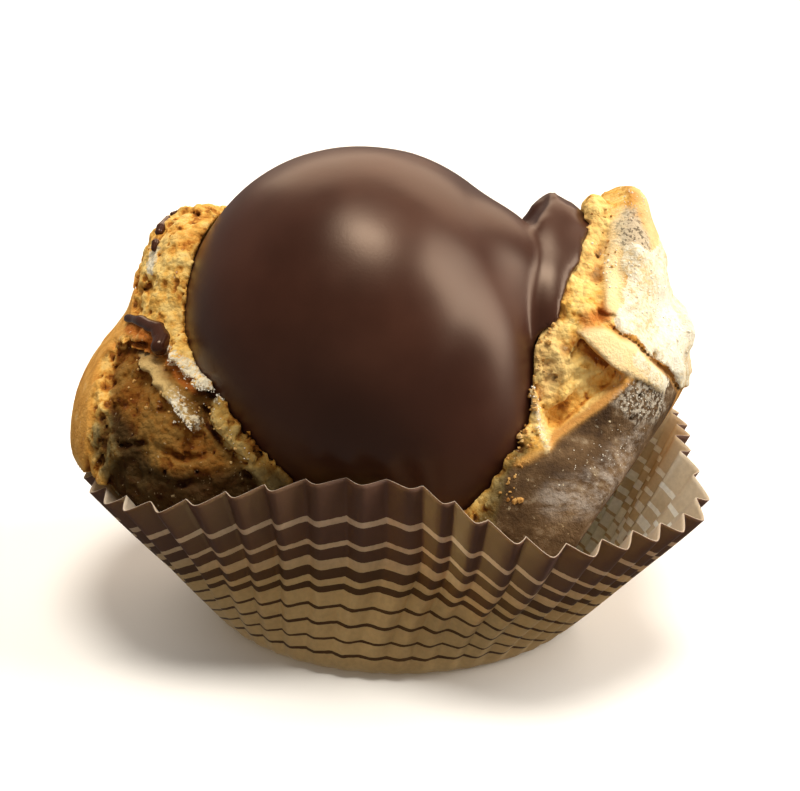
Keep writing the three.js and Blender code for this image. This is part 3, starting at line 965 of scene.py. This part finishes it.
def paper_material():
    made, tree, shader = material("case_paper")
    fibre = texture(tree, 1400, 3, 0.6)
    blot = texture(tree, 120, 3, 0.6)
    path = add(tree, "path", scaled(tree, texture(tree, 700, 2), 0.01, -0.005))
    printed = [(0.0, (0, 0, 0))]
    for low, high in PRINTED:
        printed += [(low, (255, 255, 255)), (high, (0, 0, 0))]
    ink = ramp(tree, path, printed[:-1], "CONSTANT")
    # higher up, the printed brown is painted lighter, as light through the thin paper, and the cream turns
    # pinker
    high = remap(tree, path, 0.45, 0.85)
    cream = mix(tree, high, (206, 170, 116), (206, 176, 146))
    brown = mix(tree, high, (78, 50, 18), (90, 62, 49))
    outer = mix(tree, ink, cream, brown)
    inner = mix(tree, ink, (255, 250, 236), (206, 188, 166))
    inner = mix(tree, remap(tree, path, 0.82, 0.84), inner, (210, 192, 171))
    colour = mix(tree, "inside", outer, inner)
    colour = mix(tree, remap(tree, blot, 0.35, 0.75, 0.0, 0.2), colour, (110, 82, 50))
    colour = mix(tree, remap(tree, fibre, 0.3, 0.7, 0.0, 0.14), colour, (66, 50, 34))
    return finish(made, tree, shader, {
        "Base Color": colour, "Roughness": remap(tree, blot, 0.3, 0.7, 0.5, 0.68), "Specular IOR Level": 0.3,
        "Subsurface Weight": 0.5, "Subsurface Radius": (1, 0.86, 0.66), "Subsurface Scale": 0.0006,
        "Normal": bump(tree, fibre, 0.00006, 0.5),
    })


def chocolate_material(name, smooth, rough):
    """Chocolate with its roughness wandering from smooth to rough, and painted darker where it faces down, as
    painted shade.
    """
    made, tree, shader = material(name)
    broad = texture(tree, 70, 3, 0.5)
    colour = mix(tree, remap(tree, broad, 0.3, 0.7), (54, 26, 17), (68, 36, 25))
    # painted shade on the underside, set by how far it faces up
    colour = mix(tree, remap(tree, "up", -0.6, 0.6, 0.6, 0.0), colour, (58, 33, 27))
    return finish(made, tree, shader, {
        "Base Color": colour, "Roughness": remap(tree, broad, 0.25, 0.75, smooth, rough),
        "Specular IOR Level": 0.5, "Specular Tint": (1, 0.76, 0.58, 1),
        "Normal": bump(tree, texture(tree, 2600, 2, 0.5), 0.00002, 0.3),
    })


def crumb_colour(tree, grain, blotch):
    """Torn crumb: pale on what stands proud and orange-brown in the hollows, as painted shade."""
    # painted shade: the hollows and the deep share turn the crumb orange-brown
    hollow = add(tree, "cavity", scaled(tree, grain, 0.5, -0.25))
    hollow = scaled(tree, "deep", 0.42, hollow)
    colour = ramp(tree, remap(tree, hollow, -0.5, 1.2), [
        (0.0, (250, 216, 136)), (0.3, (242, 192, 100)), (0.5, (224, 164, 74)),
        (0.7, (190, 124, 48)), (1.0, (126, 72, 27)),
    ])
    tan = remap(tree, blotch, 0.42, 0.7, 0.0, 0.5)
    colour = mix(tree, tan, colour, (218, 178, 112), "MULTIPLY")
    # painted shade over the left half's torn face
    colour = mix(tree, "face", colour, (147, 127, 101), "MULTIPLY")
    # painted shade on the lowest crumb of the left face, beside the dome and left of the plate
    colour = mix(tree, "painted_shade", colour, (128, 130, 138), "MULTIPLY")
    return mix(tree, multiply(tree, "pale", 0.7), colour, (241, 210, 144))


def crust_colour(tree, grain, coarse, blotched):
    """Baked crust: the toasted plate, golden and pale torn edges, rubbed sugar, dust and dark marks."""
    colour = ramp(tree, coarse, [
        (0.25, (184, 122, 50)), (0.45, (212, 152, 70)), (0.6, (226, 170, 88)),
        (0.8, (238, 194, 118)),
    ])
    toast = ramp(tree, add(tree, coarse, blotched), [
        (0.2, (62, 43, 25)), (0.42, (87, 65, 42)), (0.6, (110, 86, 60)), (0.85, (142, 116, 85)),
    ])
    colour = mix(tree, "toast", colour, toast)
    colour = mix(tree, "gold", colour, (206, 150, 80))
    pale = mix(tree, coarse, (236, 196, 132), (250, 230, 182))
    colour = mix(tree, "pale", colour, pale)

    dust = scaled(tree, scaled(tree, coarse, 2.4, -1.2), 0.8, "dust")
    colour = mix(tree, remap(tree, dust, 0.1, 0.9, 0.0, 0.85), colour, (196, 184, 160))
    streaks = texture(tree, 700, 5, 0.7, (0.5, 1, 1.4))
    smear = multiply(tree, "smear", remap(tree, streaks, 0.38, 0.68))
    colour = mix(tree, multiply(tree, smear, 0.44), colour, (200, 190, 178))
    speck = multiply(tree, "speckle", remap(tree, grain, 0.44, 0.56, 0, 0.9))
    colour = mix(tree, speck, colour, (202, 192, 174))
    marks = remap(tree, texture(tree, 2000, 2), 0.53, 0.6, 0, 0.75)
    dark = multiply(tree, math_node(tree, "MAXIMUM", "speckle", "dust"), marks)
    return mix(tree, dark, colour, (60, 46, 34))


def biscuit_material():
    made, tree, shader = material("biscuit")
    grain = texture(tree, 1500, 3, 0.6)
    coarse = texture(tree, 420, 4, 0.6)
    blotch = texture(tree, 110, 4, 0.55)
    blotched = scaled(tree, blotch, 1.0, -0.5)
    crust = crust_colour(tree, grain, coarse, blotched)
    colour = mix(tree, "crumb", crust, crumb_colour(tree, grain, blotch))
    # the roast colour, real by the drip and painted shade elsewhere
    roast_and_shade = multiply(tree, "roast_and_shade", remap(tree, coarse, 0.25, 0.5, 0.5, 1.0))
    colour = mix(tree, roast_and_shade, colour, (186, 108, 42))
    white = add(tree, "white", scaled(tree, grain, 2.2, -1.1))
    sugar = ramp(tree, add(tree, grain, blotched), [
        (0.35, (245, 240, 222)), (0.55, (238, 227, 198)), (0.72, (222, 196, 148)),
    ])
    colour = mix(tree, remap(tree, white, 0.3, 0.7, 0, 0.95), colour, sugar)
    granules = multiply(tree, texture(tree, 1300, kind=VORONOI), multiply(tree, "crumb", -0.8))
    height = scaled(tree, texture(tree, 2200, 3, 0.65), 0.7, granules)
    return finish(made, tree, shader, {
        "Base Color": colour, "Roughness": remap(tree, coarse, 0.3, 0.7, 0.7, 0.92),
        "Specular IOR Level": 0.15, "Normal": bump(tree, height, 0.0005, 0.8),
    })


def sugar_material():
    made, tree, shader = material("sugar")
    tone = mix(tree, texture(tree, 900, 2), (246, 238, 216), (253, 250, 240))
    return finish(made, tree, shader, {"Base Color": tone, "Roughness": 0.5})


def crumb_material():
    made, tree, shader = material("crumb")
    tone = ramp(tree, texture(tree, 700, 3), [
        (0.3, (158, 108, 54)), (0.5, (206, 160, 92)), (0.7, (232, 200, 140)),
    ])
    return finish(made, tree, shader, {
        "Base Color": tone, "Roughness": 0.95, "Specular IOR Level": 0.1,
        "Normal": bump(tree, texture(tree, 3000, 3), 0.0002, 0.7),
    })


def floor_material():
    made, tree, shader = material("floor")
    tone = mix(tree, texture(tree, 3, 2), (243, 242, 240), (248, 247, 245))
    return finish(made, tree, shader, {"Base Color": tone, "Roughness": 0.8, "Specular IOR Level": 0.1})


# ---- assembly

DOME_ROUGHNESS, DRIP_ROUGHNESS = (0.3, 0.38), (0.16, 0.24)


def dress(piece, slot, made, *nodes):
    """Gives a piece its material and the CAD nodes that it stands for; slot is not used."""
    piece.data.materials.append(made)
    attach(piece, "root")
    if nodes:
        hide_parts(*nodes)


dress(make_case(), "paper", paper_material(), "paper_case")
dress(make_dome(), "chocolate", chocolate_material("chocolate", *DOME_ROUGHNESS), "chocolate_dome")
dress(make_biscuit(), "biscuit", biscuit_material(), "biscuit")
dress(make_drips(), "chocolate", chocolate_material("chocolate_drips", *DRIP_ROUGHNESS))
dress(make_grains("crumbs_loose", CRUMB_FALLS, CRUMB_SEED, 0.15), "biscuit", crumb_material())
dress(make_grains("sugar_grains", SUGAR_FALLS, SUGAR_SEED, 0.1), "biscuit", sugar_material())

# ---- floor, light and camera

FLOOR_HALF, FLOOR_Z = 1500, -0.05  # in mm
corners = [(x * FLOOR_HALF, y * FLOOR_HALF, FLOOR_Z) for x, y in ((-1, -1), (1, -1), (1, 1), (-1, 1))]
floor = mesh_object("floor", corners, [(0, 1, 2, 3)])
floor.data.materials.append(floor_material())
floor.visible_diffuse = False  # the pale floor throws no light up under the case,
floor.visible_glossy = False  # and isn't mirrored in the coating

world = bpy.data.worlds.new("studio")
bpy.context.scene.world = world
world.use_nodes = True
background = world.node_tree.nodes["Background"]
background.inputs["Color"].default_value = (1, 0.95, 0.89, 1)
background.inputs["Strength"].default_value = 0.2


def lamp(name, kind, place, aim, energy, colour, **settings):
    """A light at a place, turned to what it aims at."""
    light = bpy.data.lights.new(name, kind)
    light.energy = energy
    light.color = colour
    for key, value in settings.items():
        setattr(light, key, value)
    made = bpy.data.objects.new(name, light)
    bpy.context.scene.collection.objects.link(made)
    made.location = place
    made.rotation_euler = (Vector(aim) - Vector(place)).to_track_quat("-Z", "Y").to_euler()
    return made


def softbox(name, place, size, watts, colour):
    return lamp(name, "AREA", place, CENTRE, watts, colour, shape="RECTANGLE", size=size[0], size_y=size[1])


CENTRE = Vector((0, 0, 0.03))
SUN_SPREAD = math.radians(24)
lamp("key", "SUN", (0.06, -0.1, 1), (0, 0, 0), 2.3, (1, 0.94, 0.84), angle=SUN_SPREAD)
softbox("side", (0.66, -0.05, 0.42), (0.36, 0.75), 6.8, (1, 0.92, 0.82))
fill = softbox("fill", (-0.1, -0.8, 0.25), (1.2, 0.7), 1.6, (1, 0.9, 0.76))
left = softbox("left", (-0.5, 0.3, 0.6), (0.4, 0.4), 1.5, (1, 0.92, 0.82))
for light in (fill, left):
    light.visible_glossy = False  # no reflections of these on the coating
softbox("back", (0.1, 0.75, 0.6), (1.2, 0.6), 5.0, (1, 0.75, 0.54))

ELEVATION, CAMERA_DISTANCE = math.radians(19), 0.24
LENS = 76.9  # in mm
camera = bpy.data.objects.new("camera", bpy.data.cameras.new("camera"))
bpy.context.scene.collection.objects.link(camera)
camera.data.lens = LENS
camera.location = CENTRE + CAMERA_DISTANCE * Vector((0, -math.cos(ELEVATION), math.sin(ELEVATION)))
camera.rotation_euler = (CENTRE - camera.location).to_track_quat("-Z", "Y").to_euler()
camera.data.clip_start = 0.01
bpy.context.scene.camera = camera
bpy.context.scene.view_settings.view_transform = "Standard"
